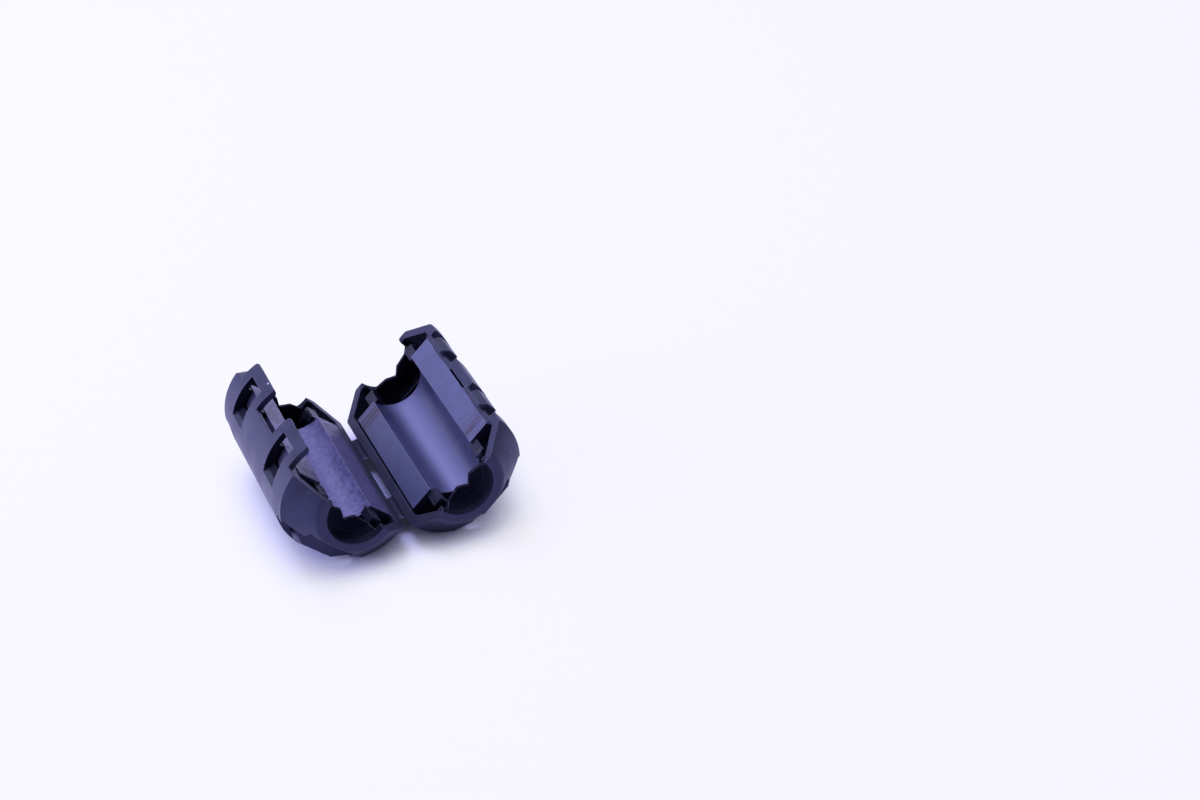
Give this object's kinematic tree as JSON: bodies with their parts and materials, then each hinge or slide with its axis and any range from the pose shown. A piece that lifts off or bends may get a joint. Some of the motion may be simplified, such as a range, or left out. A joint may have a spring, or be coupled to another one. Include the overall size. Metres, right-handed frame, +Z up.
{
  "type": "clip-on ferrite bead",
  "caption": "Hinged plastic housing that holds a split ferrite core and snaps shut round a cable to damp high-frequency noise.",
  "frame": {"origin": "centre of the underside of the open bead's bounding box, midway between the two shells on the surface it stands on", "axes": "+Z up, +Y along the cable channels and the hinge, +X from the shell with the tabs towards the shell with the catches"},
  "size_m": [0.0334, 0.035, 0.0178],
  "materials": {
    "housing": "black moulded nylon with a blue cast and a satin surface",
    "ferrite": "ground sintered ferrite, dark grey"
  },
  "bodies": {
    "catch_half": {"catch_shell": "housing", "catch_core": "ferrite", "hinge_strap_front": "housing", "hinge_strap_back": "housing"},
    "latch_half": {"latch_shell": "housing", "latch_core": "ferrite"}
  },
  "joints": [
    {"name": "hinge", "type": "hinge", "parent": "catch_half", "child": "latch_half", "pos_m": [0, 0, 0.00275], "axis": [0, 1, 0], "range_deg": [-85, 95], "deforming": ["hinge_strap_front", "hinge_strap_back"]}
  ]
}
